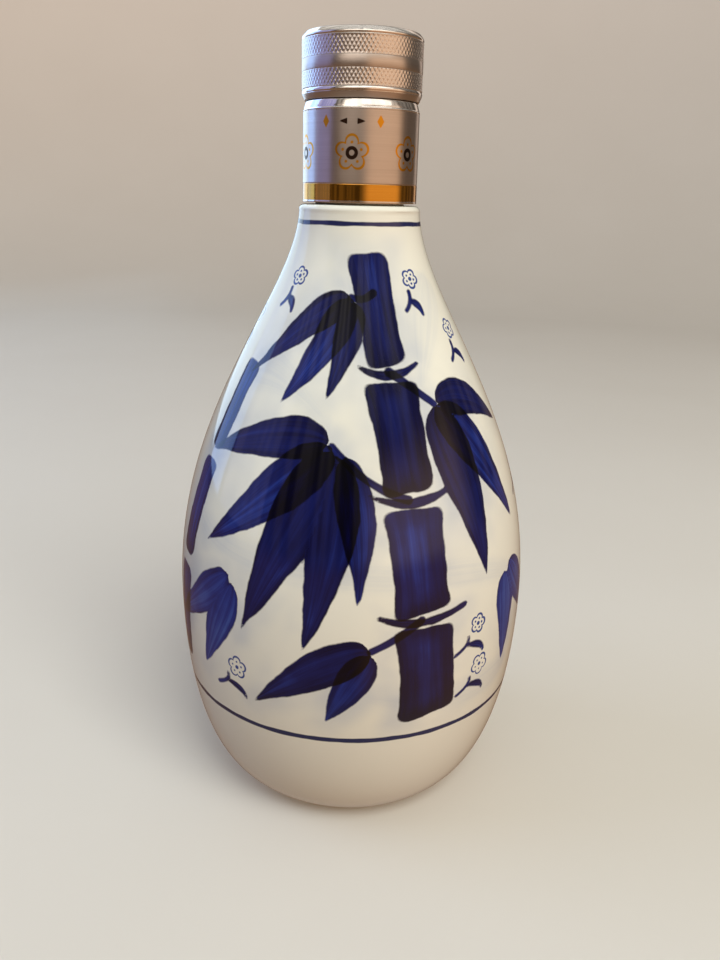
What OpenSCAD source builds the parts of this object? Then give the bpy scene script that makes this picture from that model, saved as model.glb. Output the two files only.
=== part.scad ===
// Porcelain spirit bottle with a two-part aluminium screw closure and a one-way pourer.
// Millimetres, +Z up, origin at the middle of the foot ring, on the table.

/* [Porcelain body] */
// Height of the porcelain shoulder rim above the table
body_h = 157.4; // [145:0.1:172]
// Largest diameter of the belly
belly_d = 95.3; // [86:0.1:106]
// Height of the widest part of the belly
belly_z = 55.7; // [50:0.1:61]
// Diameter of the shoulder rim, just under its rounded edge
rim_d = 30.3; // [29.6:0.1:33]
// Radius of the rim's rounded edge
rim_round = 1.4; // [0.6:0.1:2]
// Lean of the shoulder curve where it leaves the rim, in degrees from upright
shoulder_lean = 3; // [0:0.5:6]
// Reach of the shoulder curve's pull under the rim
shoulder_pull = 21.7; // [18:0.1:25]
// Reach of the upward pull of the belly curve
belly_pull_up = 51.2; // [45:0.1:57]
// Reach of the downward pull of the belly curve
belly_pull_down = 34.1; // [30:0.1:38]
// Outer diameter of the foot ring
foot_d = 54; // [48:0.1:60]
// Reach of the level pull where the belly turns under to the foot
foot_pull = 11.5; // [8:0.1:15]
// Width of the flat foot ring
foot_w = 4; // [3:0.1:6]
// Depth of the hollow inside the foot ring
foot_hollow = 2.5; // [1.5:0.1:4]
// Thickness of the cast porcelain wall
wall = 5; // [4:0.1:6]
// Thickness of the floor over the foot hollow
floor_t = 5; // [4:0.1:7]
// Length of the straight throat below the rim
throat_l = 8; // [5:0.1:11]
// Height over which the cavity draws in to the throat
funnel_h = 9; // [6:0.1:12]

/* [Neck finish] */
// Diameter of the mouth's straight bore
bore_d = 17; // [16.4:0.1:17.4]
// Diameter of the neck above the rim
neck_d = 22; // [21.4:0.1:22.6]
// Diameter of the holding bead round the mouth
bead_d = 24; // [23.4:0.1:24.4]
// Height of the mouth above the rim
neck_h = 13.6; // [12.5:0.1:14.6]
// Height of the holding bead
bead_h = 4.2; // [3.2:0.1:5]
// Chamfer of the mouth's outer edge
mouth_chamfer = 0.8; // [0.4:0.1:1]

/* [Sleeve] */
// Outer diameter of the aluminium sleeve
sleeve_d = 28.2; // [27.9:0.1:28.8]
// Height of the sleeve from its lower edge to the parting line
sleeve_h = 22.8; // [22:0.1:24]
// Gap between the porcelain rim and the sleeve's lower edge
rim_gap = 0.5; // [0.3:0.1:1]
// Height of the sleeve's bright top chamfer
sleeve_chamfer_h = 1.8; // [1:0.1:2.4]
// Inset of the sleeve's bright top chamfer
sleeve_chamfer_in = 0.6; // [0.3:0.05:0.7]
// Height of the bright bead under that chamfer
sleeve_bead_h = 0.5; // [0.3:0.05:0.8]
// Thickness of the drawn aluminium shells
shell_t = 0.4; // [0.35:0.05:0.5]
// Height that the bright beads of sleeve and cap stand proud
bead_proud = 0.12; // [0.05:0.01:0.15]

/* [Cap] */
// Outer diameter of the cap
cap_d = 28.9; // [28.6:0.1:30]
// Gap at the parting line between sleeve and cap
part_gap = 0.15; // [0.1:0.05:0.4]
// Height of the cone that draws the cap's lower edge in
cone_h = 1.35; // [0.8:0.05:2]
// Inset of the cap's lower edge
cone_in = 0.7; // [0.3:0.05:0.9]
// Height of the bright bead above the cone
low_bead_h = 1.15; // [0.8:0.05:1.6]
// Height of the lower knurled band
low_knurl_h = 3.6; // [3:0.05:4.4]
// Height of the plain band between the knurled ones
band_h = 2.85; // [2:0.05:3.6]
// Height of the upper knurled band
high_knurl_h = 4; // [3.2:0.05:5]
// Height of the bright bead under the top chamfer
high_bead_h = 0.95; // [0.7:0.05:1.4]
// Height of the top chamfer
top_chamfer_h = 0.9; // [0.5:0.05:1.4]
// Inset of the top chamfer
top_chamfer_in = 0.9; // [0.5:0.05:1.4]
// Width of the raised edge round the cap's top face
top_edge_w = 1.2; // [0.6:0.1:2]
// Depth of the top face below its raised edge
top_dish = 0.12; // [0.05:0.01:0.15]
// Depth of the knurled bands below the plain band
knurl_step = 0.12; // [0.05:0.01:0.2]
// Thickness of the inner cap's top plate
plate_t = 3.2; // [2:0.1:3.8]
// Thickness of the sealing liner
liner_t = 1.7; // [1.2:0.1:2.2]
// Radius of the sealing liner past the spout
liner_over = 1.6; // [1.4:0.1:2]
// Thickness of the inner cap's threaded skirt
skirt_wall = 2; // [1.5:0.1:2.1]
// Length of the skirt below the parting line
skirt_drop = 1.6; // [1:0.1:2]
// Thickness of the inner cap's outer wall
outer_wall = 1.1; // [0.8:0.1:1.2]
// Number of ribs between the inner cap's two walls
rib_count = 12; // [6:1:18]
// Thickness of those ribs
rib_t = 0.9; // [0.6:0.1:1.4]

/* [Thread] */
// Lift of the cap for one turn
pitch = 3; // [2.6:0.1:3.2]
// Turns of the spout's thread
spout_turns = 1.75; // [1.25:0.25:1.75]
// Turns of the inner cap's thread
cap_turns = 1.5; // [1:0.25:1.5]
// Height of a thread ridge
ridge_h = 1.1; // [0.8:0.05:1.2]
// Width of a ridge at its root
ridge_root_w = 1.4; // [1.1:0.05:1.5]
// Width of a ridge at its crest
ridge_crest_w = 0.6; // [0.4:0.05:0.8]
// Gap between a crest and the wall that it faces
crest_gap = 0.2; // [0.15:0.05:0.3]

/* [Pourer] */
// Thickness of the pourer's wall
pourer_wall = 1.5; // [1.2:0.1:1.7]
// Length of the plug in the mouth
plug_l = 12.5; // [11:0.1:14]
// Thickness of the flange over the mouth
flange_t = 1.4; // [1:0.1:1.8]
// Thickness of the sealing gasket under the flange
gasket_t = 1; // [0.6:0.1:1.4]
// Height of the valve seat above the plug's lower end
seat_rise = 2; // [1:0.1:3]
// Thickness of the valve seat
seat_t = 1.6; // [1:0.1:2]
// Width of the valve's ring of contact on its seat
seat_lap = 1.1; // [0.8:0.1:1.4]
// Number of ribs that guide the ball
guide_count = 6; // [4:1:8]
// Thickness of those ribs
guide_t = 0.9; // [0.6:0.1:1.2]

/* [Valve] */
// Diameter of the glass ball
ball_d = 9; // [8:0.1:9.4]
// Thickness of the valve's disc at its rim
valve_t = 2.2; // [1.8:0.1:2.8]
// Diameter of the valve's stem
stem_d = 3; // [2:0.1:4]
// Length of the stem below the seat
stem_l = 1.2; // [0.6:0.1:1.8]
// Travel of the valve off its seat
valve_travel = 3; // [2:0.1:3.4]
// Travel of the ball above the valve
ball_travel = 3; // [2:0.1:3.4]
// Diameter of the guard's baffle over the ball
baffle_d = 7.2; // [6:0.1:8]
// Thickness of the baffle
baffle_t = 1.2; // [0.8:0.1:1.6]
// Thickness of the guard's ring
guard_wall = 1; // [0.8:0.1:1.3]
// Height of the guard's ring
guard_h = 4; // [3:0.1:4.6]
// Number of webs that carry the baffle
web_count = 4; // [3:1:6]
// Thickness of those webs
web_t = 1; // [0.8:0.1:1.4]

/* [Collar] */
// Thickness of the collar's lip over the pourer's flange
lip_t = 1.5; // [1:0.1:2]
// Height of the split ring under the bead
ring_h = 2; // [1.4:0.1:2.6]
// Reach of the split ring into the collar's groove
ring_bite = 0.75; // [0.5:0.05:0.9]
// Width of the split in the ring
split_w = 2.5; // [1.5:0.1:4]

/* [Fits] */
// Clearance between pieces that are pushed together
push_gap = 0.1; // [0.05:0.05:0.15]
// Clearance between pieces that move past each other
move_gap = 0.3; // [0.2:0.05:0.35]
// Clearance all round the ball and the valve in their guides
guide_gap = 0.25; // [0.15:0.05:0.35]

/* [Hidden] */

// Steps of each drawn curve, facets of a turned part, and steps of one turn of thread
curve_steps = 30;
turned = 128;
thread_steps = 36;
round_steps = 6;
eps = 0.01;

// Radii from the diameters above
belly_r = belly_d / 2;
rim_r = rim_d / 2;
foot_r = foot_d / 2;
bore_r = bore_d / 2;
neck_r = neck_d / 2;
bead_r = bead_d / 2;
sleeve_r = sleeve_d / 2;
cap_r = cap_d / 2;
ball_r = ball_d / 2;

// Heights of the closure, from the rim up
mouth_z = body_h + neck_h;
bead_z = mouth_z - bead_h;
flange_z = mouth_z + gasket_t;
flange_top_z = flange_z + flange_t;
collar_top_z = flange_top_z + lip_t;
sleeve_z = body_h + rim_gap;
sleeve_top_z = sleeve_z + sleeve_h;
cap_z = sleeve_top_z + part_gap;
low_bead_z = cap_z + cone_h;
low_knurl_z = low_bead_z + low_bead_h;
band_z = low_knurl_z + low_knurl_h;
high_knurl_z = band_z + band_h;
high_bead_z = high_knurl_z + high_knurl_h;
top_chamfer_z = high_bead_z + high_bead_h;
cap_top_z = top_chamfer_z + top_chamfer_h;
plate_z = cap_top_z - shell_t - plate_t;
lip_z = plate_z - liner_t;
skirt_z = sleeve_top_z - skirt_drop;

// Radii of the closure, from the mouth's bore out
plug_r = bore_r - push_gap;
chamber_r = plug_r - pourer_wall;
spout_crest_r = plug_r + ridge_h;
thread_bore_r = spout_crest_r + crest_gap;
cap_crest_r = plug_r + crest_gap;
skirt_r = thread_bore_r + skirt_wall;
liner_r = plug_r + liner_over;
sleeve_mouth_r = skirt_r + move_gap;
sleeve_in_r = sleeve_r - shell_t;
cap_in_r = cap_r - knurl_step - shell_t;
collar_in_r = bead_r + push_gap;
collar_out_r = sleeve_in_r - push_gap / 2;
collar_lip_r = spout_crest_r + move_gap;
ring_in_r = neck_r + push_gap;
ring_out_r = collar_in_r + ring_bite;

// The valve stack, from the plug's lower end up
plug_z = mouth_z - plug_l;
seat_z = plug_z + seat_rise + seat_t;
valve_r = ball_r;
seat_hole_r = valve_r - seat_lap;
guide_r = ball_r + guide_gap;
dish_r = ball_r + push_gap;
dish_floor = valve_t / 2;
ball_z = seat_z + dish_floor + dish_r;
guard_z = ball_z + ball_r + valve_travel + ball_travel + move_gap;
guard_r = chamber_r + guard_wall / 2;

// Threads: the cap's ridge lies half a pitch under the spout's ridge
spout_thread_z = sleeve_top_z + ridge_root_w / 2;
cap_thread_z = spout_thread_z - pitch / 2;

// A point on a curve with two pulls, and the direction of the curve there
function curve(p, t) =
    pow(1 - t, 3) * p[0] + 3 * t * pow(1 - t, 2) * p[1] + 3 * t * t * (1 - t) * p[2] + pow(t, 3) * p[3];
function heading(p, t) =
    pow(1 - t, 2) * (p[1] - p[0]) + 2 * t * (1 - t) * (p[2] - p[1]) + t * t * (p[3] - p[2]);
// The point a wall's thickness inside a curve that runs down the outside
function inside(p, t, depth) =
    let (d = heading(p, t)) curve(p, t) + depth * [d[1], -d[0]] / norm(d);
// Points of an arc, from one angle to another
function arc(middle, r, from, to) =
    [for (i = [0:round_steps]) let (a = from + (to - from) * i / round_steps) middle + r * [cos(a), sin(a)]];

// Points of a bright bead, from its lower edge to its upper one
function bead(r, z, h) =
    [for (i = [0:round_steps]) [r - bead_proud * (1 - sin(180 * i / round_steps)), z + h * i / round_steps]];

// Outside of the body: rim to belly, and belly to foot
shoulder_curve = [
    [rim_r, body_h - rim_round],
    [rim_r + shoulder_pull * sin(shoulder_lean), body_h - rim_round - shoulder_pull * cos(shoulder_lean)],
    [belly_r, belly_z + belly_pull_up],
    [belly_r, belly_z]
];
foot_curve = [
    [belly_r, belly_z],
    [belly_r, belly_z - belly_pull_down],
    [foot_r + foot_pull, 0],
    [foot_r, 0]
];
steps_down = [for (i = [0:curve_steps]) i / curve_steps];

// Inside of the body, from the middle of the floor up to the mouth
throat_z = body_h - throat_l;
cavity = concat(
    [[0, foot_hollow + floor_t]],
    [for (i = [curve_steps:-1:1]) inside(foot_curve, i / curve_steps, wall)],
    [for (i = [curve_steps:-1:0])
        let (p = inside(shoulder_curve, i / curve_steps, wall))
        if (p[1] < throat_z - funnel_h) p],
    [[bore_r, throat_z], [bore_r, mouth_z]]
);

// What the body holds when filled to the mouth, as a stack of cone slices
function slice_ml(a, b) = PI / 3 * (a[0] * a[0] + a[0] * b[0] + b[0] * b[0]) * (b[1] - a[1]) / 1000;
slices = [for (i = [0:len(cavity) - 2]) slice_ml(cavity[i], cavity[i + 1])];
echo(filled_to_the_mouth_ml = slices * [for (s = slices) 1]);

// A solid turned from half of its section, given as [radius, height] points
module turn(points) {
    rotate_extrude($fn = turned) polygon(points);
}

// A plain ring
module ring(r_in, r_out, z, h) {
    turn([[r_in, z], [r_out, z], [r_out, z + h], [r_in, z + h]]);
}

// One right-handed thread ridge, sunk a little into the wall that carries it, with tapered ends
module thread_ridge(root_r, crest_r, z, turns) {
    steps = round(thread_steps * turns);
    taper = thread_steps / 12;
    sunk_r = root_r + sign(root_r - crest_r) * crest_gap;
    on_bore = crest_r < root_r;
    sections = [for (i = [0:steps])
        let (
            a = 360 * turns * i / steps,
            grow = max(0.1, min(1, i / taper, (steps - i) / taper)),
            h = z + pitch * turns * i / steps,
            top_r = root_r + (crest_r - root_r) * grow
        )
        for (p = [
            [sunk_r, h - ridge_root_w / 2], [top_r, h - ridge_crest_w / 2],
            [top_r, h + ridge_crest_w / 2], [sunk_r, h + ridge_root_w / 2]
        ]) [p[0] * cos(a), p[0] * sin(a), p[1]]];
    sides = [for (i = [0:steps - 1], k = [0:3])
        let (a = 4 * i + k, b = 4 * i + (k + 1) % 4, c = a + 4, d = b + 4)
        for (f = on_bore ? [[a, d, b], [a, c, d]] : [[a, b, d], [a, d, c]]) f];
    last = 4 * steps;
    ends = on_bore
        ? [[0, 1, 2], [0, 2, 3], [last + 2, last + 1, last], [last + 3, last + 2, last]]
        : [[2, 1, 0], [3, 2, 0], [last, last + 1, last + 2], [last, last + 2, last + 3]];
    polyhedron(sections, concat(sides, ends));
}

// Slip-cast porcelain body with its foot ring, rim and beaded neck
module porcelain_body() {
    neck = [
        [bead_r - mouth_chamfer, mouth_z], [bead_r, mouth_z - mouth_chamfer],
        [bead_r, bead_z], [neck_r, bead_z], [neck_r, body_h]
    ];
    rim = arc([rim_r - rim_round, body_h - rim_round], rim_round, 90, 0);
    outside = concat(
        [for (i = [1:curve_steps]) curve(shoulder_curve, steps_down[i])],
        [for (i = [1:curve_steps]) curve(foot_curve, steps_down[i])]
    );
    foot = [[foot_r - foot_w, 0], [foot_r - foot_w - foot_hollow, foot_hollow], [0, foot_hollow]];
    color("#ece9e2") turn(concat(neck, rim, outside, foot, cavity));
}

// Soft sealing ring between the mouth and the pourer's flange
module mouth_gasket() {
    color("#e3dfd2") ring(bore_r, bead_r - push_gap, mouth_z, gasket_t);
}

// Moulded pourer: plug, flange, threaded spout, valve seat and ball guides
module pourer_body() {
    guide_z = seat_z - eps;
    section = [
        [chamber_r, plug_z], [plug_r, plug_z], [plug_r, flange_z], [bead_r, flange_z],
        [bead_r, flange_top_z], [plug_r, flange_top_z], [plug_r, lip_z], [guard_r, lip_z],
        [guard_r, guard_z], [chamber_r, guard_z], [chamber_r, seat_z], [seat_hole_r, seat_z],
        [seat_hole_r, seat_z - seat_t], [chamber_r, seat_z - seat_t]
    ];
    color("#f1efe8") union() {
        turn(section);
        thread_ridge(plug_r, spout_crest_r, spout_thread_z, spout_turns);
        for (i = [0:guide_count - 1])
            rotate(360 * i / guide_count)
                translate([guide_r, -guide_t / 2, guide_z])
                    cube([chamber_r - guide_r + pourer_wall / 2, guide_t, guard_z - guide_z - move_gap]);
    }
}

// One-way valve that the ball holds down on its seat
module valve_disc() {
    color("#d8dde0") difference() {
        union() {
            translate([0, 0, seat_z]) cylinder(r = valve_r, h = valve_t, $fn = turned);
            translate([0, 0, seat_z - seat_t - stem_l])
                cylinder(d = stem_d, h = seat_t + stem_l + eps, $fn = turned);
        }
        translate([0, 0, ball_z]) sphere(r = dish_r, $fn = turned);
    }
}

// Glass ball that closes the valve by its weight
module glass_ball() {
    color("#b9d4d0") translate([0, 0, ball_z]) sphere(r = ball_r, $fn = turned);
}

// Guard pressed into the spout: a ring whose webs carry a baffle over the ball
module ball_guard() {
    ring_r = guard_r - push_gap / 2;
    color("#f1efe8") union() {
        ring(ring_r - guard_wall, ring_r, guard_z, guard_h);
        translate([0, 0, guard_z]) cylinder(d = baffle_d, h = baffle_t, $fn = turned);
        for (i = [0:web_count - 1])
            rotate(360 * i / web_count)
                translate([0, -web_t / 2, guard_z])
                    cube([ring_r - guard_wall / 2, web_t, baffle_t]);
    }
}

// Moulded collar that clamps the pourer's flange down on the mouth
module lock_collar() {
    groove_top_z = bead_z;
    groove_z = bead_z - ring_h - push_gap;
    color("#e9e6dd") turn([
        [collar_in_r, sleeve_z], [collar_out_r, sleeve_z], [collar_out_r, collar_top_z],
        [collar_lip_r, collar_top_z], [collar_lip_r, flange_top_z], [collar_in_r, flange_top_z],
        [collar_in_r, groove_top_z], [ring_out_r + push_gap, groove_top_z],
        [ring_out_r + push_gap, groove_z], [collar_in_r, groove_z]
    ]);
}

// Split ring that springs under the bead and holds the collar down
module snap_ring() {
    color("#bfc3c6") difference() {
        ring(ring_in_r, ring_out_r, bead_z - ring_h, ring_h);
        translate([-split_w / 2, 0, bead_z - ring_h - eps]) cube([split_w, bead_d, ring_h + 2 * eps]);
    }
}

// Drawn aluminium sleeve with its bright chamfer and turned-in top
module sleeve_shell() {
    top_r = sleeve_r - sleeve_chamfer_in;
    chamfer_z = sleeve_top_z - sleeve_chamfer_h;
    bead_low_z = chamfer_z - sleeve_bead_h;
    color("#b7aea8") turn(concat(
        [[sleeve_in_r, sleeve_z], [sleeve_r, sleeve_z], [sleeve_r, bead_low_z]],
        bead(sleeve_r, bead_low_z, sleeve_bead_h),
        [
            [top_r, sleeve_top_z], [sleeve_mouth_r, sleeve_top_z], [sleeve_mouth_r, sleeve_top_z - shell_t],
            [top_r - shell_t, sleeve_top_z - shell_t], [sleeve_in_r, bead_low_z]
        ]
    ));
}

// Plastic band that tears off the skirt at the first opening and stays under the sleeve's lip
module tamper_band() {
    color("#f1efe8")
        ring(collar_lip_r, sleeve_in_r - move_gap, collar_top_z, skirt_z - move_gap - collar_top_z);
}

// Loose sealing disc that the cap presses on the spout
module cap_liner() {
    color("#dcd6c4") translate([0, 0, lip_z]) cylinder(r = liner_r, h = liner_t, $fn = turned);
}

// Moulded inner cap: threaded skirt, ribs and outer wall under one plate
module inner_cap() {
    out_r = cap_in_r - push_gap / 2;
    wall_z = low_bead_z + move_gap;
    recess_r = liner_r + push_gap;
    color("#f1efe8") union() {
        turn([
            [thread_bore_r, skirt_z], [skirt_r, skirt_z], [skirt_r, plate_z + eps],
            [recess_r, plate_z + eps], [recess_r, lip_z], [thread_bore_r, lip_z]
        ]);
        translate([0, 0, plate_z]) cylinder(r = out_r, h = plate_t, $fn = turned);
        ring(out_r - outer_wall, out_r, wall_z, plate_z - wall_z + eps);
        thread_ridge(thread_bore_r, cap_crest_r, cap_thread_z, cap_turns);
        for (i = [0:rib_count - 1])
            rotate(360 * i / rib_count)
                translate([skirt_r - eps, -rib_t / 2, wall_z])
                    cube([out_r - outer_wall / 2 - skirt_r, rib_t, plate_z - wall_z + eps]);
    }
}

// Drawn aluminium cap with two knurled bands, bright beads and chamfered edges
module cap_shell() {
    knurl_r = cap_r - knurl_step;
    edge_r = cap_r - cone_in;
    top_r = cap_r - top_chamfer_in;
    top_in_z = cap_top_z - shell_t;
    dish_r = top_r - top_edge_w;
    dish_z = cap_top_z - top_dish;
    sides = [
        [knurl_r, low_knurl_z], [knurl_r, band_z], [cap_r, band_z], [cap_r, high_knurl_z],
        [knurl_r, high_knurl_z], [knurl_r, high_bead_z]
    ];
    top = [[top_r, cap_top_z], [dish_r, cap_top_z], [dish_r - top_dish, dish_z], [0, dish_z]];
    inner = [[0, top_in_z], [cap_in_r, top_in_z], [cap_in_r, low_bead_z], [edge_r - shell_t, cap_z]];
    color("#bdb4ae") turn(concat(
        [[edge_r, cap_z]], bead(cap_r, low_bead_z, low_bead_h), sides,
        bead(cap_r, high_bead_z, high_bead_h), top, inner
    ));
}

porcelain_body();
mouth_gasket();
pourer_body();
valve_disc();
glass_ball();
ball_guard();
lock_collar();
snap_ring();
sleeve_shell();
tamper_band();
cap_liner();
inner_cap();
cap_shell();
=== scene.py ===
import math

import bpy
import numpy as np
from mathutils import Matrix


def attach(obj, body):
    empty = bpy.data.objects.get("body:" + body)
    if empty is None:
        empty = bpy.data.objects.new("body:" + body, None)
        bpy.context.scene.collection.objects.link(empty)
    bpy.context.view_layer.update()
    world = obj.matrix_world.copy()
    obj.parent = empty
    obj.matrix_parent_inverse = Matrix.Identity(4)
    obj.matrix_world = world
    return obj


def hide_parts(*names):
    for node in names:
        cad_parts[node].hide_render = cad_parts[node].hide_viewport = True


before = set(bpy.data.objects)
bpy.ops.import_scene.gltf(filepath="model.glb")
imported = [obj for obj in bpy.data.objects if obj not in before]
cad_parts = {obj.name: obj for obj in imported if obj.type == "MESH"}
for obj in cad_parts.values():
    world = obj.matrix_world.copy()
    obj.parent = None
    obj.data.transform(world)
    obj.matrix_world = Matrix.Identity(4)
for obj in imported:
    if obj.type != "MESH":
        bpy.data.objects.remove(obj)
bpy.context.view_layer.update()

# Porcelain body: one slip-cast, turned and fired piece with a foot ring, a teardrop belly, a rounded
# shoulder rim and a beaded neck. It is painted with cobalt by a soft wide brush before glazing, so the
# strokes lie under a clear warm-white glaze; only the foot ring is left bare.
MM = 0.001
SHOULDER = np.array([[15.15, 156.0], [16.29, 134.33], [47.65, 106.9], [47.65, 55.7]])
FOOT = np.array([[47.65, 55.7], [47.65, 21.6], [38.5, 0.0], [27.0, 0.0]])
WALL, RIM_ROUND, CAVITY_TOP, CAVITY_FLOOR = 5.0, 1.4, 140.4, 7.5
COLUMNS, LOW_ROWS, HIGH_ROWS, CAVITY_ROWS, CLOSE_ROWS_FROM = 384, 24, 170, 30, 31
SHARP = math.radians(38)


def pulled(p, t):
    """Points of a cubic curve: its ends p0 and p3, pulled towards p1 and p2, at each t."""
    t = np.asarray(t)[:, None]
    return (1 - t) ** 3 * p[0] + 3 * t * (1 - t) ** 2 * p[1] + 3 * t * t * (1 - t) * p[2] + t ** 3 * p[3]


def spaced(line, count):
    """The same line with count points at equal distances along it."""
    far = np.concatenate([[0], np.cumsum(np.hypot(*np.diff(line, axis=0).T))])
    at = np.linspace(0, far[-1], count)
    return np.stack([np.interp(at, far, line[:, k]) for k in (0, 1)], 1)


def set_in(line, depth):
    """The line moved to its left by depth, along its own normal."""
    d = np.gradient(line, axis=0)
    return line + depth * np.stack([-d[:, 1], d[:, 0]], 1) / np.hypot(d[:, 0], d[:, 1])[:, None]


def turned(name, profile, columns, radius=None, loop=False):
    """A turned surface: each profile point (radius, height) in mm goes once round the axis, from the front
    towards +X. radius, if given, is a grid that replaces the profile's radii. The profile runs with the solid
    on its left; it starts and ends on the axis in a pole, or, if loop, comes back to its own start. The UV
    map runs once round in U and along the profile in V."""
    rows = len(profile)
    turn = np.arange(columns) / columns * 2 * math.pi
    r = np.repeat(profile[:, :1], columns, 1) if radius is None else radius
    z = np.repeat(profile[:, 1:], columns, 1)
    place = np.stack([r * np.sin(turn), -r * np.cos(turn), z], 2) * MM
    j = np.arange(columns)
    after = (j + 1) % columns
    if loop:
        points = place.reshape(-1, 3)
        i = np.arange(rows)[:, None]
        up = (i + 1) % rows
        quads = np.stack([i * columns + j, i * columns + after, up * columns + after, up * columns + j], 2)
        corners = quads.reshape(-1)
        sizes = np.full(rows * columns, 4)
        row_of = np.repeat(np.arange(rows), columns)
        u = np.tile(np.stack([j, j + 1, j + 1, j], 1).reshape(-1), rows) / columns
        v = np.repeat(np.arange(rows), columns * 4) + np.tile([0, 0, 1, 1], rows * columns)
        grid = np.arange(rows * columns).reshape(rows, columns)
    else:
        points = np.concatenate([place[:1, 0], place[1:-1].reshape(-1, 3), place[-1:, 0]])
        last = len(points) - 1
        i = np.arange(rows - 3)[:, None]
        a = 1 + i * columns
        quads = np.stack([a + j, a + after, a + columns + after, a + columns + j], 2).reshape(-1)
        first = np.stack([np.zeros_like(j), 1 + after, 1 + j], 1).reshape(-1)
        end = last - columns
        final = np.stack([end + j, end + after, np.full_like(j, last)], 1).reshape(-1)
        corners = np.concatenate([first, quads, final])
        sizes = np.concatenate([np.full(columns, 3), np.full((rows - 3) * columns, 4), np.full(columns, 3)])
        row_of = np.repeat(np.arange(rows - 1), columns)
        u = np.concatenate([
            np.stack([j + 0.5, j + 1, j], 1).reshape(-1),
            np.tile(np.stack([j, j + 1, j + 1, j], 1).reshape(-1), rows - 3),
            np.stack([j, j + 1, j + 0.5], 1).reshape(-1)]) / columns
        v = np.concatenate([
            np.tile([0, 1, 1], columns),
            np.repeat(np.arange(1, rows - 2), columns * 4) + np.tile([0, 0, 1, 1], (rows - 3) * columns),
            np.tile([rows - 2, rows - 2, rows - 1], columns)])
        grid = 1 + np.arange((rows - 2) * columns).reshape(rows - 2, columns)
    mesh = bpy.data.meshes.new(name)
    mesh.vertices.add(len(points))
    mesh.vertices.foreach_set("co", points.reshape(-1))
    mesh.loops.add(len(corners))
    mesh.loops.foreach_set("vertex_index", corners.astype(np.int32))
    mesh.polygons.add(len(sizes))
    mesh.polygons.foreach_set("loop_start", (np.cumsum(sizes) - sizes).astype(np.int32))
    mesh.update(calc_edges=True)
    around = mesh.uv_layers.new(name="around")
    around.data.foreach_set("uv", np.stack([u, v / rows], 1).reshape(-1))
    mesh.polygons.foreach_set("use_smooth", np.ones(len(sizes), bool))
    mesh.set_sharp_from_angle(angle=SHARP)
    mesh.validate()
    piece = bpy.data.objects.new(name, mesh)
    bpy.context.collection.objects.link(piece)
    return piece, grid, row_of


t = np.linspace(0, 1, 400)
outside = np.concatenate([pulled(FOOT, t[::-1]), pulled(SHOULDER, t[::-1])[1:]])
low = spaced(outside[outside[:, 1] < CLOSE_ROWS_FROM], LOW_ROWS)
high = spaced(outside[outside[:, 1] >= CLOSE_ROWS_FROM], HIGH_ROWS)
round_rim = np.linspace(0, math.pi / 2, 9)[1:]
rim = SHOULDER[0] + RIM_ROUND * np.stack([np.cos(round_rim) - 1, np.sin(round_rim)], 1)
under = np.array([[0, 2.5], [12, 2.5], [19.6, 2.45], [20.6, 2.3], [22.6, 0.3], [23.2, 0.0], [26.0, 0.0]])
neck = np.array([
    [11.5, 157.4], [11.1, 157.5], [11.0, 157.8], [11.0, 166.5], [11.1, 166.75], [11.3, 166.8], [11.8, 166.8],
    [12.0, 167.0], [12.0, 170.1], [11.85, 170.4], [11.3, 170.9], [11.1, 171.0], [8.8, 171.0], [8.55, 170.9],
    [8.5, 170.6], [8.5, 149.4]])
cavity = set_in(outside, WALL)
cavity = spaced(cavity[(cavity[:, 1] < CAVITY_TOP) & (outside[:, 1] > 0.01)], CAVITY_ROWS)[::-1]
body_profile = np.concatenate([under, low, high, rim, neck, cavity, [[0, CAVITY_FLOOR]]])

# The hand of the mould: the outside swells and sinks by hundredths of a millimetre, inwards only
SWAY, SWAY_HEIGHT = 0.035, 23.0
turn = np.arange(COLUMNS) / COLUMNS * 2 * math.pi
rise = body_profile[:, 1:] / SWAY_HEIGHT
sway = SWAY * (np.sin(3 * turn + 1.3 * rise) + np.sin(5 * turn - 1.9 * rise + 1) + np.sin(2.2 * rise) - 3)
painted_rows = slice(len(under), len(under) + len(low) + len(high))
body_radius = np.repeat(body_profile[:, :1], COLUMNS, 1)
body_radius[painted_rows] += sway[painted_rows]
body, body_grid, _ = turned("painted_porcelain_body", body_profile, COLUMNS, body_radius)

# Painted surface in millimetres: distance up the outside, radius, and angle from the front. BRUSH is the half
# width of the brush, BRUSH_MARGIN how far beyond a stroke it is worked out, OUTSIDE stands for what lies
# farther off, and STROKE_APART gives each stroke its own stretch of hairs
BRUSH, BRUSH_MARGIN, OUTSIDE, STROKE_APART, PATH_POINTS = 6.0, 8, -30.0, 157.0, 80
line = np.concatenate([low, high])
up_line = np.concatenate([[0], np.cumsum(np.hypot(*np.diff(line, axis=0).T))])
painted = body_grid[len(under) - 1:len(under) - 1 + len(line)]


def wrapped(a):
    """An angle brought to the half turn on each side of zero."""
    return (a + math.pi) % (2 * math.pi) - math.pi


angle = wrapped(turn)


def laid_brush(path, half_width, load, blunt=0.0, slant=0.0):
    """One brush stroke: a smooth path over control points (degrees from the front, height in mm), with half
    widths and brush loads spread evenly along it. blunt rounds a square end by that many mm, and slant tilts
    it; a stroke with blunt 0 ends in a point or in a half circle."""
    path = np.asarray(path, float)
    n = len(path) - 1
    t = np.linspace(0, 1, PATH_POINTS)
    weight = np.stack([math.comb(n, k) * t ** k * (1 - t) ** (n - k) for k in range(n + 1)], 1)
    way = weight @ path
    s = np.interp(way[:, 1], line[:, 1], up_line)
    a = np.radians(way[:, 0])
    along_steps = np.linspace(0, 1, len(half_width))
    return {
        "a": a, "s": s, "w": np.interp(t, along_steps, half_width), "blunt": blunt, "slant": slant,
        "load": np.interp(t, np.linspace(0, 1, len(load)), load)}


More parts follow.
